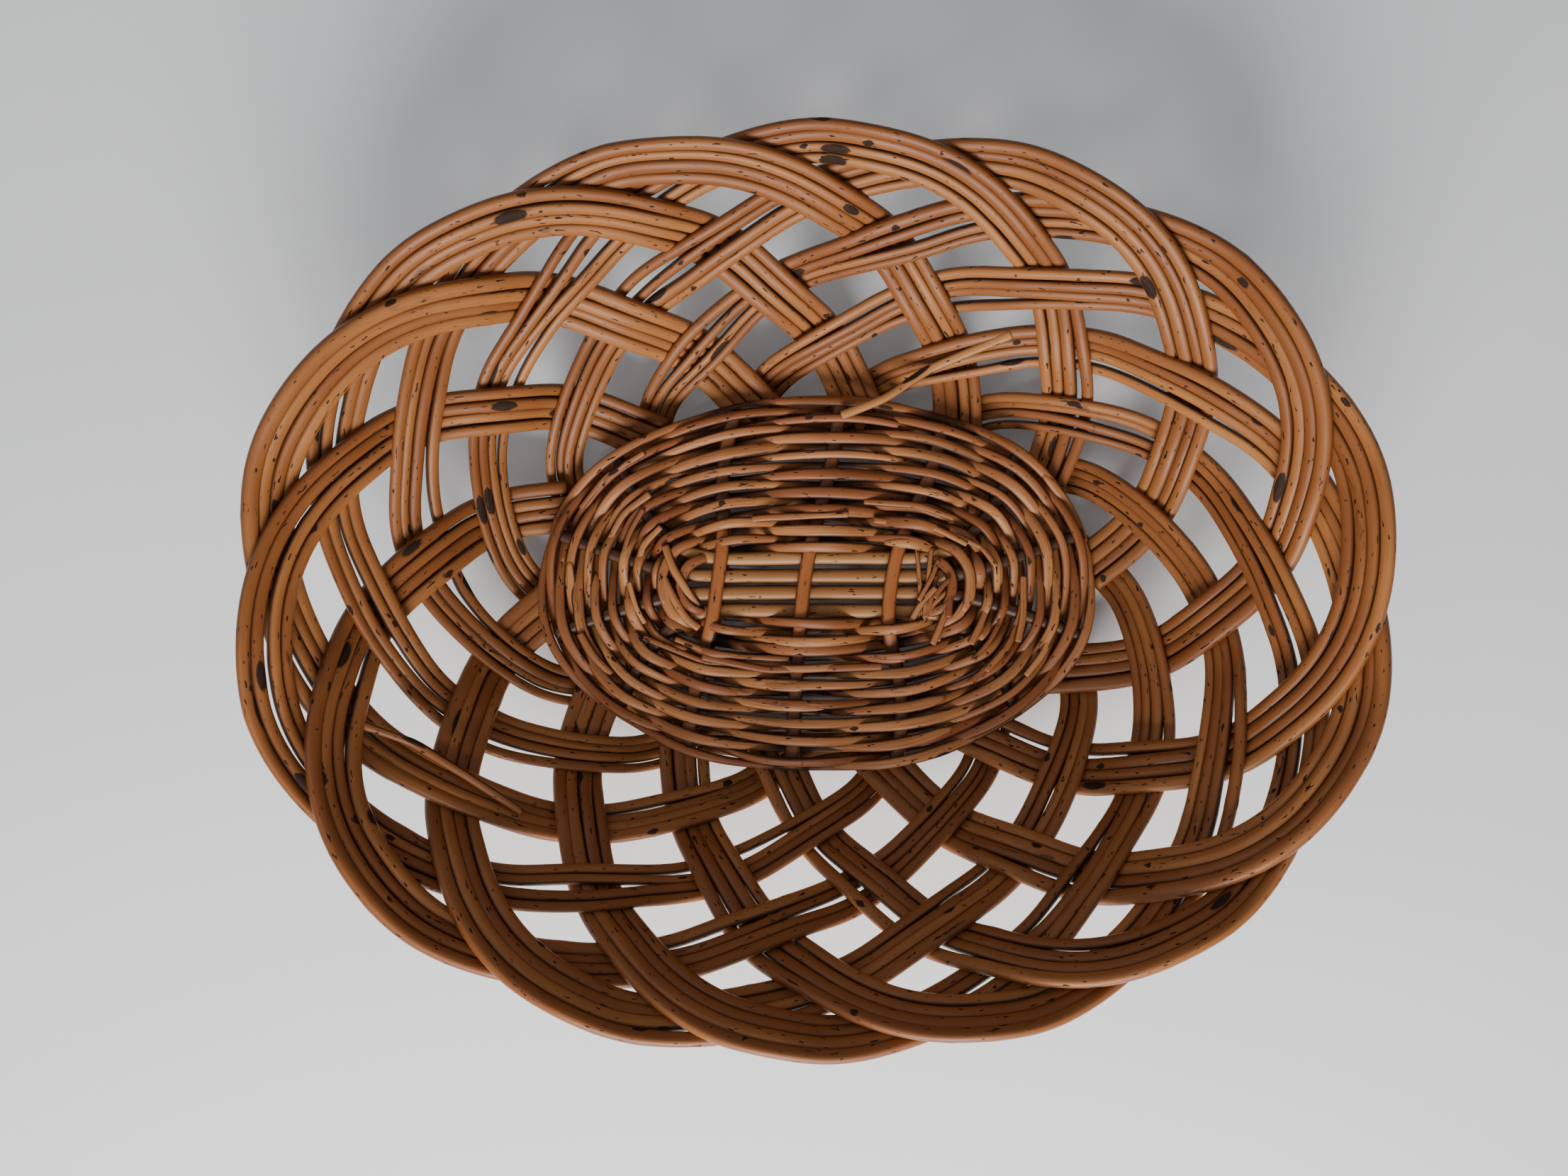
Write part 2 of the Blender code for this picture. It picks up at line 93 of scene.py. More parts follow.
OVAL_ANGLES = np.linspace(0, 2 * math.pi, 1441)
edge_points = np.array([oval(a, FLOOR_LENGTH / 2, FLOOR_WIDTH / 2) for a in OVAL_ANGLES])
walked = np.concatenate([[0], np.cumsum(np.linalg.norm(np.diff(edge_points, axis=0), axis=1))])
EDGE_LENGTH = walked[-1]
EDGE_SHARES = walked / EDGE_LENGTH


def angle_at_share(share):
    """The oval angle after a share of a turn, walked evenly along the edge of the floor."""
    turns, part = divmod(share, 1.0)
    return 2 * math.pi * turns + float(np.interp(part, EDGE_SHARES, OVAL_ANGLES))


def angle_at(place):
    """The oval angle at a place, in steps of one band."""
    return angle_at_share(place / BANDS)


print("edge of the floor:", round(EDGE_LENGTH * 1000), "mm round")

# %% [markdown]
# ## The run of a band
# A real band leaves the foot, climbs slowly while it goes round, turns over at the rim and drops steeply
# six places on. A sharp minimum of a slow climb and a quick fall gives that lopsided arch.

# %% The wall a band follows
def climb(step):
    """The height of a band's middle, as a share of the wall, a number of steps after its start."""
    if step <= 0 or step >= SPAN:
        return 0.0
    up, down = CLIMB * step, FALL * (SPAN - step)
    return (up ** -TURN_SHARPNESS + down ** -TURN_SHARPNESS) ** (-1 / TURN_SHARPNESS)


TURN_HEIGHT = max(climb(SPAN * i / 600) for i in range(1, 600))
RIM_SLOPE = math.atan2(HEIGHT * RISE, (RIM_LENGTH - FLOOR_LENGTH) / 2 * LEAN)
RIM_SIDE = BAND_WIDTH / 2 * math.cos(RIM_SLOPE) + (LAYER + ROD) / 2 * math.sin(RIM_SLOPE)
RIM_UP = BAND_WIDTH / 2 * math.sin(RIM_SLOPE) + ROD / 2 * math.cos(RIM_SLOPE)
REACH_X = ((RIM_LENGTH - FLOOR_LENGTH) / 2 - RIM_SIDE) / TURN_HEIGHT ** LEAN
REACH_Y = ((RIM_WIDTH - FLOOR_WIDTH) / 2 - RIM_SIDE) / TURN_HEIGHT ** LEAN
REACH_Z = (HEIGHT - WALL_BOTTOM - RIM_UP) / TURN_HEIGHT ** RISE


def wall_point(place, height):
    """A point on the wall's middle surface."""
    out = height ** LEAN
    x, y = oval(angle_at(place), FLOOR_LENGTH / 2 + REACH_X * out, FLOOR_WIDTH / 2 + REACH_Y * out)
    return Vector((x, y, WALL_BOTTOM + REACH_Z * height ** RISE))


def wall_normal(place, height):
    """The wall's direction towards the inside of the basket."""
    height = max(height, 0.02)
    along = wall_point(place + 0.02, height) - wall_point(place - 0.02, height)
    up = wall_point(place, height + 0.01) - wall_point(place, height - 0.01)
    normal = up.cross(along).normalized()
    return normal if normal.z > 0 else -normal


def band_start(band):
    """The place where a band leaves the foot, with the maker's drift in their spacing."""
    turn = 2 * math.pi / BANDS
    drift = DRIFT * math.cos(turn * (band + 0.5)) + SECOND_DRIFT * math.cos(2 * turn * (band + 0.3))
    return FIRST_BAND + band - drift


print("the rim turns at", round(wall_point(0, TURN_HEIGHT).z * 1000, 1), "mm")

# %% [markdown]
# ## Over and under
# Wherever two bands meet, one lies on the other. The meeting place is found by halving an interval until
# both bands are at the same height; then the band is pushed half a layer in or out over the width of the
# crossing. Between two crossings it eases from one side to the other, as a springy rod does.

# %% Where bands cross
def crossing_step(ahead):
    """Steps after its start where a climbing band meets one that started this many steps earlier."""
    low, high = 0.0, max(SPAN - ahead, 0.0)
    for _ in range(40):
        middle = (low + high) / 2
        if climb(middle) < climb(middle + ahead):
            low = middle
        else:
            high = middle
    return low


def run_at(start, step):
    """A band's run in metres per step."""
    step = max(0.1, min(step, SPAN - 0.1))
    first = wall_point(start + step - 0.03, climb(step - 0.03))
    last = wall_point(start + step + 0.03, climb(step + 0.03))
    return (last - first) / 0.06


def crossing(band, other, over):
    """(first step, last step, side) of the stretch where a band lies flat against another."""
    start, other_start = band_start(band), band_start(other)
    ahead = abs(start - other_start)
    met = crossing_step(ahead)
    step = met if start > other_start else min(met + ahead, SPAN)
    here = run_at(start, step)
    there = run_at(other_start, start + step - other_start)
    meeting = max(here.angle(there), 0.6)
    meeting = min(meeting, math.pi - meeting)
    half = (BAND_WIDTH - EDGE) / 2 * (1 / math.sin(meeting) + 1 / math.tan(meeting)) + SPARE
    return step - half / here.length, step + half / here.length, 1 if over else -1


def crossings(band):
    """Every crossing of a band, from its start to its end."""
    found = []
    for places in range(1, int(SPAN) + 1):
        found.append(crossing(band, band - places, places in OVER_AT))
        found.append(crossing(band, band + places, places not in OVER_AT))
    return sorted(found)


def keyed_offsets(band):
    """(step, offset) along the wall: level at each crossing and sloping between them."""
    keys = []
    for first, last, side in crossings(band):
        offset = side * LAYER / 2
        if keys and keys[-1][1] == offset:
            keys[-1] = (max(last, keys[-1][0]), offset)
            continue
        if keys and first < keys[-1][0] + LEAST_EASE:
            middle = (first + keys[-1][0]) / 2
            keys[-1] = (middle - LEAST_EASE / 2, keys[-1][1])
            first = middle + LEAST_EASE / 2
        keys += [(first, offset), (last, offset)]
    keys[0] = (0.0, keys[0][1] - FOOT_ROOM)
    keys[1] = (keys[1][0], keys[1][1] - FOOT_ROOM)
    keys[-2] = (keys[-2][0], keys[-2][1] + FOOT_ROOM)
    keys[-1] = (SPAN, keys[-1][1] + FOOT_ROOM)
    return keys


print("band 1 crosses", len(crossings(0)), "times")

# %% [markdown]
# ## One band from end to end
# A band starts in the foot ring, where it lies on the ground and then rides up over its neighbour's tail,
# follows the wall and finally tucks under the floor. The rough run is resampled to points an even distance
# apart and smoothed, because willow bends in long curves and never in corners.

# %% The smooth run of a band
SAMPLE = 0.0018  # between two points of a rod


def evenly(points, values, apart=SAMPLE):
    """Points an even distance apart, with the values carried along."""
    lengths = np.concatenate([[0], np.cumsum(np.linalg.norm(np.diff(points, axis=0), axis=1))])
    wanted = np.arange(0, lengths[-1], apart)
    spaced = np.stack([np.interp(wanted, lengths, points[:, i]) for i in range(3)], axis=1)
    carried = np.stack([np.interp(wanted, lengths, values[:, i]) for i in range(values.shape[1])], axis=1)
    return spaced, carried, wanted


def smoothed(points, reach):
    """The points averaged with their neighbours within about this many points; the ends stay put."""
    reach = max(min(reach, (len(points) - 2) // 3), 1)
    weights = np.exp(-0.5 * (np.arange(-3 * reach, 3 * reach + 1) / reach) ** 2)
    weights /= weights.sum()
    before = 2 * points[:1] - points[1 : 3 * reach + 1][::-1]
    after = 2 * points[-1:] - points[-3 * reach - 1 : -1][::-1]
    padded = np.concatenate([before, points, after])
    return np.stack([np.convolve(padded[:, i], weights, "valid") for i in range(3)], axis=1)


def unit(vectors):
    return vectors / np.linalg.norm(vectors, axis=1, keepdims=True)


def eased(step, keys):
    """The value at a step between keys, with a soft start and end to each change."""
    for (first, before), (last, after) in zip(keys, keys[1:]):
        if step <= last:
            share = (step - first) / max(last - first, 1e-6)
            return before + (after - before) * (0.5 - 0.5 * math.cos(math.pi * min(max(share, 0), 1)))
    return keys[-1][1]


def foot_point(place, height):
    """A point of the foot ring."""
    x, y = oval(angle_at(place), FLOOR_LENGTH / 2 - FOOT_INSET, FLOOR_WIDTH / 2 - FOOT_INSET)
    return Vector((x, y, height))


def band_run(band):
    """(points, normals, steps, lengths) of a band's middle line."""
    start, before, second = (band_start(band - i) for i in range(3))
    keys = keyed_offsets(band)
    foot = [
        (second + FOOT_START, FOOT_LOW),
        (before + FOOT_RISE[0], FOOT_LOW),
        (before + FOOT_RISE[1], FOOT_HIGH),
        (start, FOOT_HIGH),
    ]
    rows = []
    for place in np.arange(foot[0][0], start - FOOT_LEVEL, 0.05):
        rows.append((*foot_point(place, eased(place, foot)), *UP, place - start))
    for step in np.arange(0.0, SPAN + 0.001, 0.04):
        height = climb(step)
        upright = min(1.0, step / TURN_UP, (SPAN - step) / TURN_DOWN)
        normal = UP.lerp(wall_normal(start + step, height), upright).normalized()
        point = wall_point(start + step, height) + normal * eased(step, keys)
        rows.append((*point, *normal, step))
    inward = (Vector(rows[-1][:3]) - Vector(rows[-3][:3])) * Vector((1, 1, 0))
    end = Vector(rows[-1][:3]) + inward.normalized() * TUCK
    rows.append((*end, *UP, SPAN + 0.3))
    rows = np.array(rows)
    points, carried, lengths = evenly(rows[:, :3], rows[:, 3:])
    return smoothed(points, 4), unit(smoothed(carried[:, :3], 4)), carried[:, 3], lengths


runs = [band_run(band) for band in range(BANDS)]
print("band 1 is", round(runs[0][3][-1] * 1000), "mm long")

# %% [markdown]
# ## Making a rod
# A rod is a tube round a line, but a curve's bevel would keep it perfectly even. Building the rings here
# lets each one have its own thickness, so a rod can taper and swell at its knots, and lets every point
# remember where on the rod it is. The finish reads these notes:
# **grain** is the place in the straightened rod, so streaks run along the wood however it bends;
# **tone** is one number per rod; **knot** is strong at a scar; the fourth note is strong down the two
# sides where rods press together and all round where a piece lies under another, and there the finish
# paints the wood darker, partly as stain and partly as painted shade.

# %% Rods as meshes
ROOT = "root"
SIDES = 12


def wander(length, pace, amount, seed):
    """A slow random drift along a length, sampled at each point of it."""
    dice = np.random.default_rng(seed)
    count = max(int(length[-1] / pace) + 4, 4)
    return np.interp(length / pace, np.arange(count), dice.normal(0, amount, count))


def soften(values, reach):
    weights = np.exp(-0.5 * (np.arange(-3 * reach, 3 * reach + 1) / reach) ** 2)
    return np.convolve(np.pad(values, 3 * reach, "edge"), weights / weights.sum(), "valid")


def note(mesh, name, values):
    """Keeps one number or one vector for each point of a mesh."""
    vector = np.ndim(values) == 2
    layer = mesh.attributes.new(name, "FLOAT_VECTOR" if vector else "FLOAT", "POINT")
    layer.data.foreach_set("vector" if vector else "value", np.ascontiguousarray(values, np.float32).ravel())


def squared(wave):
    """A cosine or sine made a little squarer, for rods that were pressed flat against each other."""
    return (np.sign(wave) * np.abs(wave) ** 0.82)[None, :, None]


def ring_mesh(name, rings, caps):
    """A closed mesh through the rings, with a point at each end."""
    count = len(rings)
    ring = np.arange(count - 1)[:, None] * SIDES + np.arange(SIDES)[None]
    after = np.arange(count - 1)[:, None] * SIDES + (np.arange(SIDES) + 1) % SIDES
    walls = np.stack([ring, ring + SIDES, after + SIDES, after], axis=2).reshape(-1, 4).tolist()
    base, tip = (count - 1) * SIDES, count * SIDES
    first = [[tip, i, (i + 1) % SIDES] for i in range(SIDES)]
    last = [[tip + 1, base + (i + 1) % SIDES, base + i] for i in range(SIDES)]
    mesh = bpy.data.meshes.new(name)
    mesh.from_pydata(np.concatenate([rings.reshape(-1, 3), caps]).tolist(), [], walls + first + last)
    mesh.shade_smooth()
    return mesh


def tube(name, points, normals, across, tall, finish, seed, knots=None, painted_shade=None, pressed=(1, 1)):
    """A closed tube: across and tall are its half-width and half-height at each point.

    Pressed tells how strongly something touches it on its right and on its left; the finish paints those
    sides darker, partly stained and partly as painted shade, and darkens whole rings by the given share of
    painted shade where a piece lies under another.
    """
    dice = random.Random(seed)
    run = unit(np.gradient(points, axis=0))
    side = unit(np.cross(run, normals))
    lift = np.cross(side, run)
    turns = np.arange(SIDES) * 2 * math.pi / SIDES
    right = side[:, None] * squared(np.cos(turns)) * across[:, None, None]
    above = lift[:, None] * squared(np.sin(turns)) * tall[:, None, None]
    caps = np.array([points[0] - run[0] * tall[0] * 0.25, points[-1] + run[-1] * tall[-1] * 0.25])
    mesh = ring_mesh(name, points[:, None] + right + above, caps)
    length = np.concatenate([[0], np.cumsum(np.linalg.norm(np.diff(points, axis=0), axis=1))])
    start = np.array([dice.uniform(0, 9), dice.uniform(0, 9), dice.uniform(0, 9)])
    round_it = [(across[:, None] * np.cos(turns)).ravel(), (tall[:, None] * np.sin(turns)).ravel()]
    grain = np.stack([np.repeat(length, SIDES), *round_it], axis=1)
    grain = np.concatenate([grain, [[0, 0, 0], [length[-1], 0, 0]]]) + start
    scars = np.zeros((len(points), SIDES)) if knots is None else knots
    # share of painted shade on each ring, for parts that lie under others
    painted_shade = np.zeros(len(points)) if painted_shade is None else painted_shade
    # sides pressed against a neighbour are painted darker in the finish: partly stain, partly painted shade
    # between the rods
    touched = np.maximum(np.cos(turns) * pressed[0], -np.cos(turns) * pressed[1])
    shade_and_stain = np.maximum(touched[None], painted_shade[:, None])
    note(mesh, "grain", grain)
    note(mesh, "tone", np.full(len(mesh.vertices), dice.random()))
    note(mesh, "knot", np.concatenate([scars.ravel(), [0.6, 0.6]]))
    note(mesh, "shade_and_stain", np.concatenate([shade_and_stain.ravel(), [0.5, 0.5]]))
    made = bpy.data.objects.new(name, mesh)
    bpy.context.scene.collection.objects.link(made)
    made.data.materials.append(finish)
    return made


def settle(piece, slot, *nodes):
    """The piece rides on the basket and stands for these solids; its slot is not used."""
    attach(piece, ROOT)
    if nodes:
        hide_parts(*nodes)


print("a rod's ring has", SIDES, "points")

# %% [markdown]
# ## Writing a finish as sums
# A finish is a web of small nodes. Wrapping each output in a class that understands + - * lets the web be
# written as ordinary sums, which are easier to read and to change than a picture of wires.

# %% Sums of shader values
class Value:
    """An output of a node that takes Python's operators."""

    def __init__(self, recipe, socket):
        self.recipe, self.socket = recipe, socket

    def sum(self, operation, first, second, clamp=False):
        settings = {"operation": operation, "use_clamp": clamp}
        return self.recipe.node("ShaderNodeMath", settings, {0: first, 1: second})

    def __add__(self, other):
        return self.sum("ADD", self, other)

    def __sub__(self, other):
        return self.sum("SUBTRACT", self, other)

    def __rsub__(self, other):
        return self.sum("SUBTRACT", other, self)

    def __mul__(self, other):
        return self.sum("MULTIPLY", self, other)

    __radd__ = __add__
    __rmul__ = __mul__

    def over(self, edge, softness):
        """0 below an edge and 1 above it, with a soft step."""
        return self.sum("DIVIDE", self - edge, softness, clamp=True)

    def most(self, other):
        return self.sum("MAXIMUM", self, other)


class Recipe:
    """The nodes of one finish."""

    def __init__(self, name):
        self.material = bpy.data.materials.new(name)
        self.material.use_nodes = True
        self.tree = self.material.node_tree
        self.shader = self.tree.nodes["Principled BSDF"]

    def node(self, kind, settings=None, inputs=None, output=0):
        made = self.tree.nodes.new(kind)
        for key, value in (settings or {}).items():
            setattr(made, key, value)
        for key, value in (inputs or {}).items():
            self.feed(made.inputs[key], value)
        return Value(self, made.outputs[output])

    def feed(self, socket, value):
        if isinstance(value, Value):
            self.tree.links.new(value.socket, socket)
        else:
            socket.default_value = value

    def noted(self, name, output="Fac"):
        """What the points of the mesh remember under this name."""
        return self.node("ShaderNodeAttribute", {"attribute_name": name}, {}, output)

    def stretched(self, vector, along, round_it):
        """A place on the rod with its length and its girth scaled differently."""
        sizes = (along, round_it, round_it)
        return self.node("ShaderNodeVectorMath", {"operation": "MULTIPLY"}, {0: vector, 1: sizes})

    def noise(self, vector, detail=2.0, roughness=0.5):
        inputs = {"Vector": vector, "Scale": 1.0, "Detail": detail, "Roughness": roughness}
        return self.node("ShaderNodeTexNoise", {}, inputs, "Fac")

    def mixed(self, share, first, second):
        """One colour turning into another."""
        settings = {"data_type": "RGBA", "clamp_factor": True}
        return self.node("ShaderNodeMix", settings, {0: share, 6: first, 7: second}, 2)


print("sums are ready")

# %% [markdown]
# ## Varnished willow
# Peeled willow is amber under varnish. Its colour drifts along a rod over a few centimetres, fine streaks
# run with the grain, and dark flecks sit where buds were. The grooves between rods are painted dark brown,
# partly as stain gathered there before the varnish went on and partly as painted shade, and the parts of
# weavers and sticks that lie under others get the same painted shade. The same recipe makes every piece;
# only its colours and strength change.

# %% The willow finish
def colour(red, green, blue):
    return (red, green, blue, 1.0)


BARK = colour(0.022, 0.009, 0.004)
# dark brown painted into the grooves and under other pieces, partly stain and partly painted shade; also the
# colour of real stain patches
SHADE_AND_STAIN = colour(0.040, 0.011, 0.003)


def willow(name, pale, deep, shade_and_stain_strength, gloss, streaks=0.5):
    """Varnished willow: two tones, how strongly its grooves and covered parts are painted dark (partly
    stained, partly painted shade), its gloss and its streaks.
    """
    recipe = Recipe(name)
    grain = recipe.noted("grain", "Vector")
    tone, knot, shade_and_stain = (recipe.noted(n) for n in ("tone", "knot", "shade_and_stain"))
    drift = recipe.noise(recipe.stretched(grain, 22, 130), 2.0)
    streak = recipe.noise(recipe.stretched(grain, 60, 1900), 3.0, 0.6)
    fine = recipe.noise(recipe.stretched(grain, 260, 2600), 2.0)
    patch = recipe.noise(recipe.stretched(grain, 45, 260), 3.0, 0.65)
    fleck = recipe.noise(recipe.stretched(grain, 300, 1100), 1.0)
    body = recipe.mixed((drift - 0.30) * 1.5 + (tone - 0.5) * 0.8, deep, pale)
    body = recipe.mixed(streak.over(0.46, 0.26) * streaks, body, deep)
    # darker down the sides where pieces touch and where they lie under others: partly stain, partly painted
    # shade
    shaded_and_stained = shade_and_stain.over(0.60, 0.34) * (patch * 0.9 + 0.50)
    body = recipe.mixed(shaded_and_stained * shade_and_stain_strength, body, SHADE_AND_STAIN)
    body = recipe.mixed(patch.over(0.66, 0.06) * 0.65, body, SHADE_AND_STAIN)
    flecks = (fleck + patch * 0.25).over(0.815, 0.03)
    scars = (knot + patch * 0.5 - 0.25).over(0.42, 0.12) * (fine * 0.5 + 0.75)
    body = recipe.mixed(flecks.most(scars), body, BARK)
    dull = flecks.most(scars)
    height = streak * 0.5 + drift * 0.6 - dull * 0.8
    bump = recipe.node("ShaderNodeBump", {}, {"Strength": 0.35, "Distance": 0.0004, "Height": height})
    recipe.feed(recipe.shader.inputs["Base Color"], body)
    recipe.feed(recipe.shader.inputs["Roughness"], streak * 0.16 + dull * 0.25 + (0.50 - gloss * 0.25))
    recipe.feed(recipe.shader.inputs["Coat Weight"], (1 - dull) * gloss)
    recipe.feed(recipe.shader.inputs["Normal"], bump)
    recipe.shader.inputs["Coat Roughness"].default_value = 0.42
    recipe.shader.inputs["Specular IOR Level"].default_value = 0.28
    return recipe.material


WALL_FINISH = willow("wall_willow", colour(0.43, 0.168, 0.045), colour(0.23, 0.070, 0.015), 1.0, 0.24)
STRAND_TONES = colour(0.58, 0.250, 0.085), colour(0.24, 0.070, 0.018)
FLOOR_FINISH = willow("weaver_willow", *STRAND_TONES, 1.0, 0.24, 0.85)
PALE_FINISH = willow("pale_willow", colour(0.58, 0.30, 0.105), colour(0.34, 0.135, 0.038), 1.0, 0.34)
CROSS_FINISH = willow("cross_willow", colour(0.48, 0.165, 0.040), colour(0.29, 0.082, 0.016), 0.7, 0.34)
LOOSE_FINISH = willow("loose_willow", colour(0.66, 0.36, 0.14), colour(0.44, 0.19, 0.06), 0.60, 0.2)
print("finishes:", [m.name for m in bpy.data.materials if m.name.endswith("willow")])

# %% [markdown]
# ## The wall's rods
# Four rods lie side by side in each band. Each tapers from its butt, which is tucked in after the fall, to
# its tip, which starts the climb, so the falling side of a band is wider. They press together under a
# crossing and spread a little in the open, each wanders slightly, and knots swell them here and there.

# %% Rods for every band
TIP, BUTT = 0.0016, 0.00215  # half-thickness of a rod at the start of its climb and at its cut butt


def knotted(length, seed):
    """(swelling, scars) of a rod: a few knots, each a bump and a dark mark on one side."""
    dice = random.Random(seed)
    swelling = np.ones(len(length))
    scars = np.zeros((len(length), SIDES))
    turns = np.arange(SIDES) * 2 * math.pi / SIDES
    place = dice.uniform(0.01, 0.07)
    while place < length[-1]:
        large = dice.random() < 0.22
        reach = dice.uniform(0.0026, 0.0050) if large else dice.uniform(0.0010, 0.0020)
        near = np.exp(-0.5 * ((length - place) / reach) ** 2)
        facing = np.exp((3.0 if large else 7.0) * (np.cos(turns - dice.uniform(0, 2 * math.pi)) - 1))
        swelling += near * (0.10 if large else 0.05)
        scars = np.maximum(scars, near[:, None] * facing[None] * dice.uniform(0.7, 1.2))
        place += dice.uniform(0.030, 0.11)
    return swelling, scars


BARK_MARKS = ((10.55, 0.93), (9.0, 0.95), (8.45, 0.67), (9.4, 0.63), (7.55, 0.25), (12.3, 0.8), (5.2, 0.5))


def barked(line, scars):
    """The scars with the large patches of bark added, on the side that faces into the basket."""
    turns = np.arange(SIDES) * 2 * math.pi / SIDES
    facing = np.exp(2.2 * (np.sin(turns) - 1))
    for place, height in BARK_MARKS:
        far = np.linalg.norm(line - np.array(wall_point(place, height)), axis=1)
        if far.min() < 0.0032:
            along = (np.arange(len(line)) - far.argmin()) * SAMPLE
            slid = np.random.default_rng(int(far.min() * 1e7)).uniform(-0.003, 0.003)
            near = np.exp(-0.5 * ((along - slid) / 0.0036) ** 2)
            scars = np.maximum(scars, near[:, None] * facing[None] * 1.2)
    return scars


def partings(band):
    """(middle in steps, which gap, width) of the places where a band's rods have sprung apart."""
    dice = random.Random(900 + band)
    found = []
    for _ in range(5):
        step = dice.choice((dice.uniform(0.3, 3.2), dice.uniform(0.3, 5.6)))
        found.append((step, dice.randrange(1, RODS_IN_BAND), dice.uniform(0.0006, 0.0025)))
    return found


def band_rod(band, number):
    """One of the four rods of a band."""
    points, normals, steps, length = runs[band]
    seed = 1000 + band * 10 + number
    dice = random.Random(seed)
    share = np.clip(steps / SPAN, 0, 1)
    middle = TIP + (BUTT - TIP) * share
    radius = middle * dice.uniform(0.87, 1.20) * soften(1 + wander(length, 0.05, 0.03, seed), 9)
    rank = number - (RODS_IN_BAND - 1) / 2
    aside = rank * 2 * middle * 0.97 + soften(wander(length, 0.06, 0.00034, seed + 5), 12)
    for step, gap, width in partings(band):
        apart = np.exp(-0.5 * ((steps - step) / 0.24) ** 2) * width / 2
        aside += apart if number >= gap else -apart
    proud = soften(wander(length, 0.05, 0.00042, seed + 6), 12)
    run = unit(np.gradient(points, axis=0))
    side = unit(np.cross(run, normals))
    line = points + side * aside[:, None] + normals * proud[:, None]
    line[:, 2] = np.maximum(line[:, 2], radius + 0.00005)
    swelling, scars = knotted(length, seed + 7)
    scars = barked(line, scars)
    first = dice.randrange(0, 6)
    last = len(points) - dice.randrange(0, 9)
    keep = slice(first, last)
    thick = (radius * swelling)[keep]
    name = f"band_{band + 1:02d}_rod_{number + 1}"
    # a band's two outer sides get a weaker share of the painted darkening, which is partly stain and partly
    # painted shade
    pressed = (1 if number < RODS_IN_BAND - 1 else 0.72, 1 if number else 0.72)
    sizes = (thick * 1.06, thick * 0.90)
    rod = tube(name, line[keep], normals[keep], *sizes, WALL_FINISH, seed, scars[keep], None, pressed)
    settle(rod, "varnished_willow", f"band_{band + 1:02d}")
    return rod


for band in range(BANDS):
    for number in range(RODS_IN_BAND):
        band_rod(band, number)
print("wall rods:", BANDS * RODS_IN_BAND)

# %% [markdown]
# ## The sticks of the floor
# The floor is started by slitting three short sticks and pushing four long ones through the slits. A slit
# stick is two half-round pieces that part round the long sticks and close again beyond them, so each is
# made as two half-round tubes, which also leaves the fine line of the split along its sides.

# %% Sizes of the floor
CROSS_STICKS, CROSS_SPACING, CROSS_SLANT = 3, 0.030, 0.13
LONG_STICKS, LONG_STICK, LONG_SPACING, FAN, STICK_TIP = 4, 0.0050, 0.0060, 1.12, 0.0040
EYE_TAPER, SLIT_WALL = 0.016, 0.0018
OFF_CENTRE = 0.0045  # the maker set the cross sticks a little to one side
ROWS, TYING_ROWS, WEAVER = 16, 2, 0.0022
OPENING_LENGTH, OPENING_MARGIN, OPENING_POWER = 0.101, 0.0044, 3.0
STICK_ENDS = 2 * (LONG_STICKS + CROSS_STICKS)
BANDS_TOP = WALL_BOTTOM + LAYER / 2 + FOOT_ROOM + ROD / 2
FLOOR_MIDDLE = BANDS_TOP + CLEARANCE + WEAVER + CLEARANCE + STICK_TIP / 2
SLIT_LENGTH = LONG_STICKS * LONG_SPACING
OPENING_WIDTH = SLIT_LENGTH + 2 * OPENING_MARGIN
LONG_ENDS = tuple(range(LONG_STICKS)) + tuple(range(STICK_ENDS // 2, STICK_ENDS // 2 + LONG_STICKS))


def row_point(angle, out):
    """A point of a row of weaving: out is 0 at the first row and 1 at the last."""
    half_length = (OPENING_LENGTH + (FLOOR_LENGTH - WEAVER - OPENING_LENGTH) * out) / 2
    half_width = (OPENING_WIDTH + (FLOOR_WIDTH - WEAVER - OPENING_WIDTH) * out) / 2
    power = OPENING_POWER + (OVAL_POWER - OPENING_POWER) * out
    return Vector(oval(angle, half_length, half_width, power))


def signed_power(value, power):
    return math.copysign(min(abs(value), 1.0) ** power, value)


def stick_angles():
    """(angle at the first row, angle at the last row) of the stick ends, in order round."""
    ends = []
    power = OPENING_POWER / 2
    edge = 2 * math.pi / STICK_ENDS * (FLOOR_LENGTH + FLOOR_WIDTH) / 4
    lean = CROSS_SLANT * FLOOR_WIDTH / 2 / edge
    for side in range(2):
        turn = math.pi * side
        for number in range(LONG_STICKS):
            rank = number - (LONG_STICKS - 1) / 2
            across = rank * LONG_SPACING * FAN / (OPENING_WIDTH / 2)
            outer = angle_at_share(rank / STICK_ENDS)
            outer -= 2 * math.pi if outer > math.pi else 0
            ends.append((turn + math.asin(signed_power(across, power)), turn + outer))
        for number in range(CROSS_STICKS):
            rank = number - (CROSS_STICKS - 1) / 2
            across = -rank * CROSS_SPACING - CROSS_SLANT * OPENING_WIDTH / 2
            inner = math.acos(signed_power(across / (OPENING_LENGTH / 2), power))
            outer = angle_at_share(0.25 + (rank + lean) / STICK_ENDS)
            ends.append((turn + inner, turn + outer))
    return ends


STICK_ANGLES = stick_angles()


def crossing_angle(end, out):
    """The oval angle where a stick end meets the row at this distance out."""
    inner, outer = STICK_ANGLES[end]
    return inner + (outer - inner) * out


def fanned(end):
    """A stick's run from the first row out to the last."""
    outs = (0.0, 0.33, 0.66, 1.0)
    return [Vector((*row_point(crossing_angle(end, out), out), FLOOR_MIDDLE)) for out in outs]


print("stick ends round the floor:", len(STICK_ANGLES))

# %% [markdown]
# ## Long sticks
# A long stick runs straight and level through the three slits. Past them nothing holds it but the weaving,
# which pushes the four ends apart like the ribs of a fan. Its line is a few points smoothed into one bend,
# and its ends are thinner than its middle, because a maker shaves them so that the rows close up.

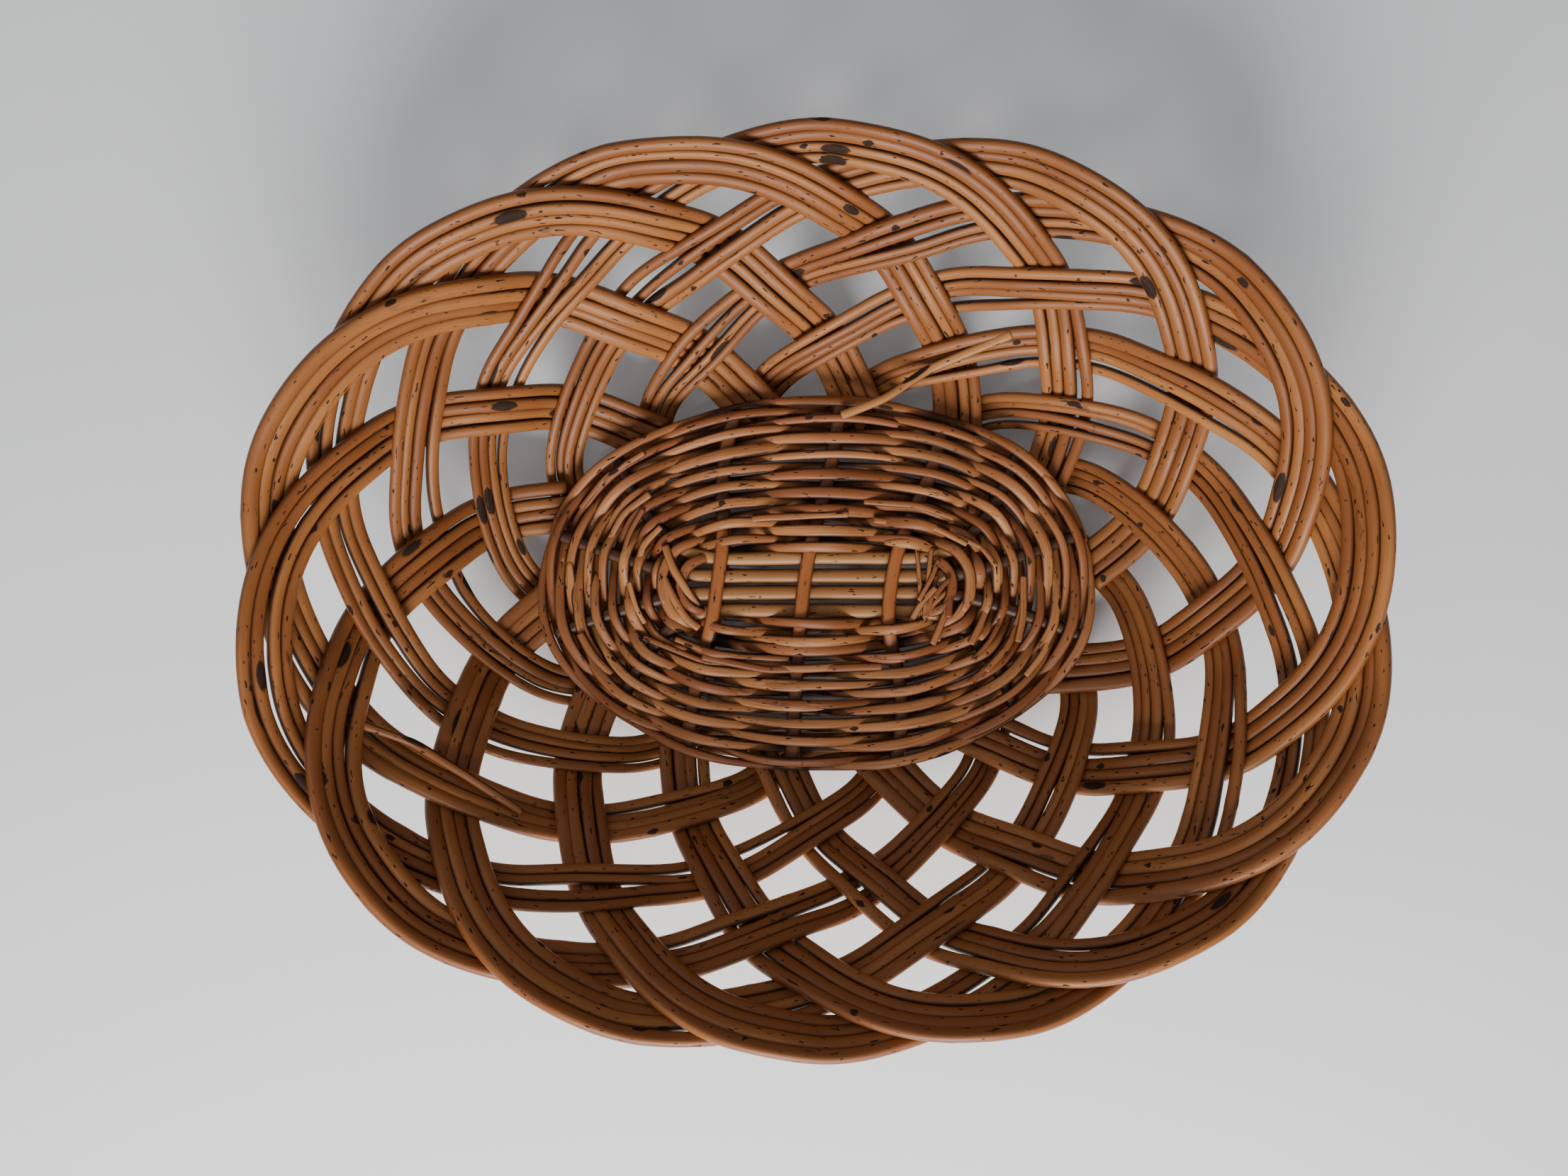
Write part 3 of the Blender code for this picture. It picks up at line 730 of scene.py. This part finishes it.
# %% Long sticks
def smooth_line(points, reach=4, apart=SAMPLE):
    """An even, smooth line through a few points."""
    rough = np.array([tuple(p) for p in points])
    line, _, length = evenly(rough, rough, apart)
    return smoothed(line, reach), length


def long_stick(number):
    """A long stick: straight through the slits, then fanned out to the edge of the floor."""
    level = ((LONG_STICKS - 1) / 2 - number) * LONG_SPACING
    straight = CROSS_SPACING * (CROSS_STICKS - 1) / 2 + STICK_TIP
    middle = [Vector((x, level, FLOOR_MIDDLE)) for x in (straight, 0.0, -straight)]
    far_end = 2 * LONG_STICKS + CROSS_STICKS - 1 - number
    line, length = smooth_line(fanned(number)[::-1] + middle + fanned(far_end))
    seed = 3000 + number
    from_middle = np.abs(length / length[-1] - 0.5) * 2
    radius = LONG_STICK / 2 * 1.05 - (LONG_STICK - STICK_TIP) / 2 * from_middle ** 2
    radius = radius * soften(1 + wander(length, 0.02, 0.03, seed), 5)
    line[:, 1] += soften(wander(length, 0.03, 0.00030, seed + 1), 6)
    line[:, 2] += soften(wander(length, 0.03, 0.00025, seed + 2), 6)
    swelling, scars = knotted(length, seed + 3)
    normals = np.tile(np.array(UP), (len(line), 1))
    name = f"long_stick_{number + 1}_whole"
    # painted shade: the stick is darkened beyond the opening, where it runs under the weaving
    painted_shade = np.clip((np.abs(line[:, 0]) - 0.040) / 0.008, 0, 1)
    stick = tube(name, line, normals, radius * swelling, radius, PALE_FINISH, seed, scars, painted_shade)
    settle(stick, "pale_stick", f"long_stick_{number + 1}")


for number in range(LONG_STICKS):
    long_stick(number)
print("long sticks:", LONG_STICKS)

# %% [markdown]
# ## Slit sticks
# A slit opens like an eye where the long sticks pass through and closes again over about sixteen
# millimetres. Raising one half and lowering the other by that same curve makes the eye, with no cutting.

# %% Cross sticks, each slit in two halves
def parted(from_middle):
    """How far the two halves of a cross stick stand apart, this far from the middle of the slit."""
    share = np.clip((from_middle - SLIT_LENGTH / 2 + 0.001) / EYE_TAPER, 0, 1)
    return (LONG_STICK / 2 + CLEARANCE) * (1 - share * share * (3 - 2 * share))


STRAIGHT = (0.15, 0.5, 0.85)  # where the straight middle of a cross stick has points


def half_stick(number, upper):
    """The upper or the lower half of a slit cross stick."""
    first = fanned(LONG_STICKS + number)[::-1]
    last = fanned(STICK_ENDS - 1 - number)
    middle = [first[-1].lerp(last[0], share) for share in STRAIGHT]
    line, length = smooth_line(first + middle + last)
    seed = 3100 + number
    radius = STICK_TIP / 2 * 1.22 * soften(1 + wander(length, 0.02, 0.03, seed), 5)
    way = 1 if upper else -1
    line[:, 0] -= OFF_CENTRE * np.exp(-(line[:, 1] / 0.04) ** 2)
    line[:, 2] += way * (parted(np.abs(line[:, 1])) + radius * 0.42)
    normals = np.tile(np.array(UP), (len(line), 1))
    swelling, scars = knotted(length, seed + 3)
    half = "upper" if upper else "lower"
    name = f"cross_stick_{number + 1}_{half}_half"
    # painted shade: the cross stick is darkened beyond the slit, where it runs under the weaving
    painted_shade = np.clip((np.abs(line[:, 1]) - 0.0165) / 0.003, 0, 1)
    stick = tube(name, line, normals, radius * swelling, radius * 0.56, CROSS_FINISH, seed, scars, painted_shade)
    settle(stick, "cross_stick_willow", f"cross_stick_{number + 1}")


for number in range(CROSS_STICKS):
    half_stick(number, True)
    half_stick(number, False)
print("cross stick halves:", 2 * CROSS_STICKS)

# %% [markdown]
# ## Weaving the floor
# Each weaver goes over one stick end and under the next, and the row outside it does the opposite. A
# weaver flattens where it is bent hard over a stick, so its hump is wide and its dive is narrow, which
# gives the floor its long pointed lens shapes with dark hollows between them; the dives and the stick
# ends under the weaving also get painted shade. A weaver isn't long enough for a whole row, so each
# row is made of lengths that overlap, with cut ends left lying on a stick.

# %% Heights of a row
HUMP, DIVE = 0.00196, 0.00146  # half-width of a weaver on top of a stick and beneath one
ROUNDED = (0.45, 0.95)  # 0 runs straight from stick to stick and 1 follows the oval: first and last row


def eye_swell(across):
    """How much taller than its tip a cross stick is, this far from the middle of its slit."""
    tall = (LONG_STICK + 2 * CLEARANCE + 2 * SLIT_WALL) / STICK_TIP
    share = min(max((across - SLIT_LENGTH / 2 - 0.001) / EYE_TAPER, 0.0), 1.0)
    return tall + (1 - tall) * share * share * (3 - 2 * share)


def stick_half_height(end, out):
    """Half a stick's height where it meets a row."""
    if end in LONG_ENDS:
        return (LONG_STICK + (STICK_TIP - LONG_STICK) * out) / 2
    across = abs(row_point(crossing_angle(end, 0), out).y)
    return STICK_TIP / 2 * eye_swell(across - 2 * WEAVER)


def count_round(end, row):
    """A stick end's number round the floor, where a tying row counts a bundle as one."""
    if row >= TYING_ROWS:
        return end
    side, number = divmod(end, STICK_ENDS // 2)
    return side * (CROSS_STICKS + 1) + max(number - LONG_STICKS + 1, 0)


def row_keys(row):
    """(angle, height, hump) at each stick end of a row, with a turn to spare before and after.

    The hump is 1 where the weaver is on top of a stick and 0 where it dives beneath one. Round the ends
    of the floor the rows are packed so tightly that the weavers hardly narrow at all.
    """
    out = row / (ROWS - 1)
    keys = []
    for turn in range(-1, 3):
        for end in range(STICK_ENDS):
            over = (count_round(end, row) + row) % 2
            height = (stick_half_height(end, out) + WEAVER / 2) * (1 if over else -1)
            hump = 0.45 + 0.45 * over if end in LONG_ENDS else over
            keys.append((crossing_angle(end, out) + 2 * math.pi * turn, height, hump))
    return keys


def weaver_line(row, first, last):
    """(points, humps) of a weaver of a row between two angles."""
    keys = row_keys(row)
    out = row / (ROWS - 1)
    angles = np.arange(first, last, 0.012)
    known = [k[0] for k in keys]
    after = np.clip(np.searchsorted(known, angles), 1, len(keys) - 1)
    rows = []
    for angle, i in zip(angles, after):
        (a, low, under), (b, high, over) = keys[i - 1], keys[i]
        share = 0.5 - 0.5 * math.cos(math.pi * min(max((angle - a) / (b - a), 0), 1))
        corner, next_corner = row_point(a, out), row_point(b, out)
        straight = corner.lerp(next_corner, (angle - a) / (b - a))
        point = straight.lerp(row_point(angle, out), ROUNDED[0] + (ROUNDED[1] - ROUNDED[0]) * out)
        height = FLOOR_MIDDLE + low + (high - low) * share
        rows.append((point.x, point.y, height, under + (over - under) * share))
    rows = np.array(rows)
    points, carried, length = evenly(rows[:, :3], rows[:, 3:])
    return smoothed(points, 1), carried[:, 0], length


def weaver(row, number, first, last):
    """One length of weaver in a row."""
    seed = 5000 + row * 20 + number
    points, hump, length = weaver_line(row, first, last)
    run = unit(np.gradient(points, axis=0))
    side = unit(np.cross(run, np.array(UP)))
    points = points + side * soften(wander(length, 0.022, 0.00052, seed), 4)[:, None]
    points[:, 2] += soften(wander(length, 0.02, 0.00034, seed + 1), 4)
    thick = random.Random(seed).uniform(0.80, 1.16)
    uneven = soften(1 + wander(length, 0.02, 0.07, seed + 2), 4)
    across = (DIVE + (HUMP - DIVE) * hump ** 1.5) * thick * uneven
    across *= np.clip(length / 0.012 + 0.55, 0, 1) * np.clip((length[-1] - length) / 0.012 + 0.55, 0, 1)
    tall = np.minimum(across * 0.95, WEAVER * 0.56) * np.ones(len(points))
    swelling, scars = knotted(length, seed + 3)
    tilt = np.array(UP) + side * soften(wander(length, 0.02, 0.30, seed + 4), 4)[:, None]
    name = f"weave_row_{row + 1:02d}_weaver_{number + 1}"
    wide = across * (0.5 + swelling / 2)
    # painted shade: the weaver is darkened all round where it dives beneath a stick
    painted_shade = 1.05 - hump * 2.2
    strand = tube(name, points, unit(tilt), wide, tall, FLOOR_FINISH, seed, scars * 0.9, painted_shade)
    settle(strand, "varnished_weaver", f"weave_row_{max(row, 0) + 1:02d}")


print("the first row meets", len(row_keys(0)) // 4, "stick ends")

# %% [markdown]
# ## Rows from lengths
# A row starts somewhere new each time, so that its joins don't line up with those of the row before. Each
# length runs a few millimetres past the next one's start. One more row, numbered -1, ties the opening
# round on the inside, close against the long sticks.

# %% Rows of weavers
def weave(row):
    """A row as two or three lengths of weaver that overlap a little."""
    dice = random.Random(400 + row)
    count = 2 if row < 6 else dice.choice((2, 3))
    begin = dice.uniform(0, 2 * math.pi)
    joins = [begin + 2 * math.pi * (i + dice.uniform(-0.12, 0.12)) / count for i in range(count)]
    lap = 0.007 / row_point(begin, row / (ROWS - 1)).length
    for number in range(count):
        first = joins[number]
        last = joins[number + 1] if number + 1 < count else joins[0] + 2 * math.pi
        weaver(row, number, first - lap, last + lap)
    return count


lengths_used = sum(weave(row) for row in range(-1, ROWS))
print("weavers:", lengths_used, "in", ROWS, "rows and one tying round inside them")

# %% [markdown]
# ## Ends, splits and broken bits
# Hand-made work is full of small accidents: weavers snap where they turn round the end of the opening,
# new weavers start with a short cut end left on top, a rod splits away from its band, and a band's end
# slips out over the edge of the floor. They are few, but without them the basket looks made by a machine.

# %% Loose pieces
def loose(name, spots, thick, finish, slot, node, seed):
    """A single bit of willow through a few points, cut square at its ends."""
    line, length = smooth_line(spots, 4, SAMPLE / 3)
    radius = thick * soften(1 + wander(length, 0.012, 0.08, seed), 3)
    normals = np.tile(np.array(UP), (len(line), 1))
    swelling, scars = knotted(length, seed)
    bit = tube(name, line, normals, radius * swelling, radius * 0.8, finish, seed, scars)
    settle(bit, slot, node)


def on_wall(place, height, inward):
    """A point this far inside the wall."""
    return wall_point(place, height) + wall_normal(place, height) * inward


FLOOR_TOP = FLOOR_MIDDLE + LONG_STICK / 2 + WEAVER
STRAND = (FLOOR_FINISH, "varnished_weaver")  # the finish and slot of every bit of weaver
TIES = (
    ((0.0345, 0.0125, -0.0012), (0.035, 0.006, 0.0004), (0.0358, -0.004, 0.0004), (0.0345, -0.0135, -0.0016)),
    ((0.0395, 0.0125, -0.0012), (0.0388, 0.006, 0.0004), (0.0376, -0.004, 0.0004), (0.037, -0.0135, -0.0016)),
    (
        (-0.0525, 0.0135, 0.0006),
        (-0.05, 0.006, 0.0012),
        (-0.045, -0.002, 0.0006),
        (-0.0415, -0.0075, -0.0014),
    ),
    ((-0.054, 0.0045, 0.0), (-0.05, -0.004, 0.0006), (-0.045, -0.0125, 0.0), (-0.041, -0.015, -0.001)),
)
for number, spots in enumerate(TIES):
    points = [Vector((x, y, FLOOR_TOP - 0.0010 + z)) for x, y, z in spots]
    thick = 0.00082 if number < 2 else 0.00150
    loose(f"tie_{number + 1}", points, thick, *STRAND, "weave_row_01", 6100 + number)
for number in range(8):
    x, y = chance.uniform(0.0400, 0.0495), chance.uniform(-0.0100, 0.0090)
    way, long = chance.uniform(-2.4, -1.5), chance.uniform(0.008, 0.016)
    start = Vector((x, y, FLOOR_TOP + chance.uniform(-0.0022, 0.0010)))
    step = Vector((math.cos(way), math.sin(way), chance.uniform(-0.15, 0.25))) * long
    bend = Vector((chance.uniform(-1, 1), chance.uniform(-1, 1), 0.3)) * 0.0014
    spots = [start, start + step / 2 + bend, start + step]
    thick = chance.uniform(0.0009, 0.0014)
    loose(f"broken_bit_{number + 1}", spots, thick, *STRAND, "weave_row_02", 6200 + number)
print("ties:", len(TIES), "and 8 broken bits")

# %% [markdown]
# ## Cut ends and stray rods
# A new weaver starts with its cut end lying on a stick, so short ends rise out of the rows all over the
# floor. Two wall rods have left their bands: one splits away in front, and one lies over the floor's edge.

# %% Cut ends on the floor and rods that have come away
for number in range(20):
    row = chance.randrange(2, ROWS - 2)
    out = row / (ROWS - 1)
    angle = chance.uniform(0, 2 * math.pi)
    turn = chance.uniform(0.010, 0.020) / row_point(angle, out).length
    top = FLOOR_MIDDLE + LONG_STICK / 2 + WEAVER * 0.75
    heights = (-0.0016, 0.0004, 0.0013)
    outs = (out, out + 0.015, out + chance.uniform(-0.03, 0.07))
    spots = []
    for i in range(3):
        flat = row_point(angle + turn * i, outs[i])
        spots.append(Vector((flat.x, flat.y, top - 0.0016 * out + heights[i])))
    thick = chance.uniform(0.0009, 0.0014)
    node = f"weave_row_{row + 1:02d}"
    loose(f"cut_end_{number + 1}", spots, thick, *STRAND, node, 6300 + number)
split = [
    on_wall(6.35, 0.74, 0.0022),
    on_wall(6.15, 0.62, 0.0052),
    on_wall(5.85, 0.55, 0.0070),
    on_wall(5.45, 0.49, 0.0040),
]
loose("split_rod", split, 0.0015, WALL_FINISH, "varnished_willow", "band_04", 6401)
slipped = [
    on_wall(11.85, 0.37, 0.0010),
    on_wall(11.40, 0.17, 0.0060),
    Vector((0.0235, 0.0640, 0.0262)),
    Vector((0.0080, 0.0580, 0.0262)),
]
loose("slipped_rod", slipped, 0.0016, LOOSE_FINISH, "varnished_willow", "band_06", 6402)
cut = [Vector((0.096, -0.040, 0.010)), Vector((0.101, -0.0345, 0.011)), Vector((0.1085, -0.027, 0.015))]
loose("cut_foot_end", cut, 0.0017, WALL_FINISH, "varnished_willow", "band_14", 6403)
print("cut ends, one split rod, one slipped rod and one cut foot end")

# %% [markdown]
# ## The stage
# A pale table top, one soft light low in front of the basket, a weak one behind and to the left to fill
# the shadows, and a camera that looks straight down. The low light is what leaves the near wall dark and
# the far wall bright.

# %% Floor, lights and camera
def table_top():
    recipe = Recipe("pale_table")
    recipe.shader.inputs["Base Color"].default_value = (0.93, 0.95, 0.97, 1)
    recipe.shader.inputs["Roughness"].default_value = 0.85
    bpy.ops.mesh.primitive_plane_add(size=6)
    top = bpy.context.object
    top.name = "table_top"
    top.data.materials.append(recipe.material)


def soft_light(name, place, target, size, power, tint):
    lamp = bpy.data.lights.new(name, "AREA")
    lamp.shape = "DISK"
    lamp.size = size
    lamp.energy = power
    lamp.color = tint
    holder = bpy.data.objects.new(name, lamp)
    holder.location = place
    holder.rotation_euler = (Vector(target) - Vector(place)).to_track_quat("-Z", "Y").to_euler()
    bpy.context.scene.collection.objects.link(holder)


def air(strength):
    world = bpy.data.worlds.new("soft_room")
    world.use_nodes = True
    backdrop = world.node_tree.nodes["Background"]
    backdrop.inputs["Color"].default_value = (0.93, 0.96, 1.0, 1)
    backdrop.inputs["Strength"].default_value = strength
    bpy.context.scene.world = world


table_top()
air(0.28)
soft_light("window", (-0.04, -0.82, 0.52), (0, 0.05, 0.03), 0.55, 16.5, (1.0, 0.98, 0.95))
soft_light("fill", (-0.9, 0.5, 1.0), (0, 0, 0), 1.2, 2.5, (0.95, 0.97, 1.0))
camera = bpy.data.cameras.new("camera")
camera.lens = 27.03
camera.shift_x, camera.shift_y = -0.0276, -0.0205
holder = bpy.data.objects.new("camera", camera)
holder.location = (0.0035, 0.010, 0.430)
bpy.context.scene.collection.objects.link(holder)
bpy.context.scene.camera = holder
print("camera at", tuple(round(v, 3) for v in holder.location))
